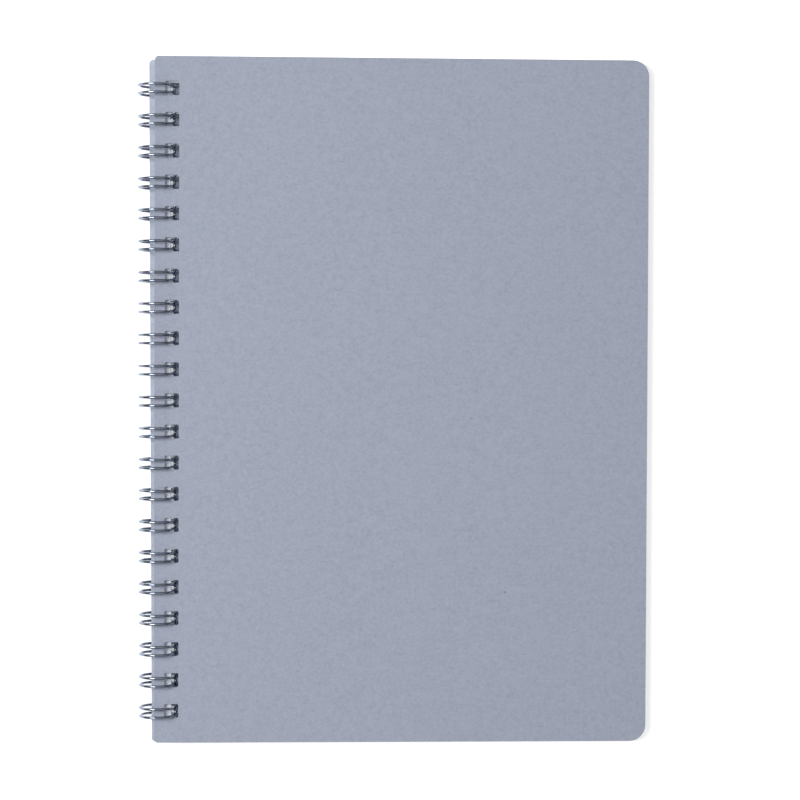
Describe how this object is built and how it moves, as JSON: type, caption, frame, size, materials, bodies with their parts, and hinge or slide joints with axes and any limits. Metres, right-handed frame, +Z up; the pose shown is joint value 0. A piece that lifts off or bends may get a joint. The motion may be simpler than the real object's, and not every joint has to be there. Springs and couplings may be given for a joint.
{
  "type": "wire-bound notebook",
  "caption": "Closed softcover notebook with plain recycled card covers, a block of white sheets and a silver twin-loop wire along the spine.",
  "frame": {"origin": "centre of the base, under the closed notebook lying on its back", "axes": "+X from the wire to the fore-edge, +Y to the head, +Z up through the front cover"},
  "size_m": [0.157, 0.2106, 0.0116],
  "materials": {
    "cover_card": "matte blue-grey recycled card with faint mottling and fibres",
    "paper": "uncoated white paper",
    "wire": "bright silver-coated steel wire"
  },
  "bodies": {
    "block": {"page_block": "paper", "twin_loop_wire": "wire"},
    "front": {"front_cover": "cover_card"},
    "back": {"back_cover": "cover_card"}
  },
  "joints": [
    {"name": "front_cover_hinge", "type": "hinge", "parent": "block", "child": "front", "pos_m": [-0.07326, -0.00003, 0.00593], "axis": [0, -1, 0], "range_deg": [0, 182]},
    {"name": "back_cover_hinge", "type": "hinge", "parent": "block", "child": "back", "pos_m": [-0.07366, -0.00003, 0.00433], "axis": [0, 1, 0], "range_deg": [0, 178]}
  ]
}
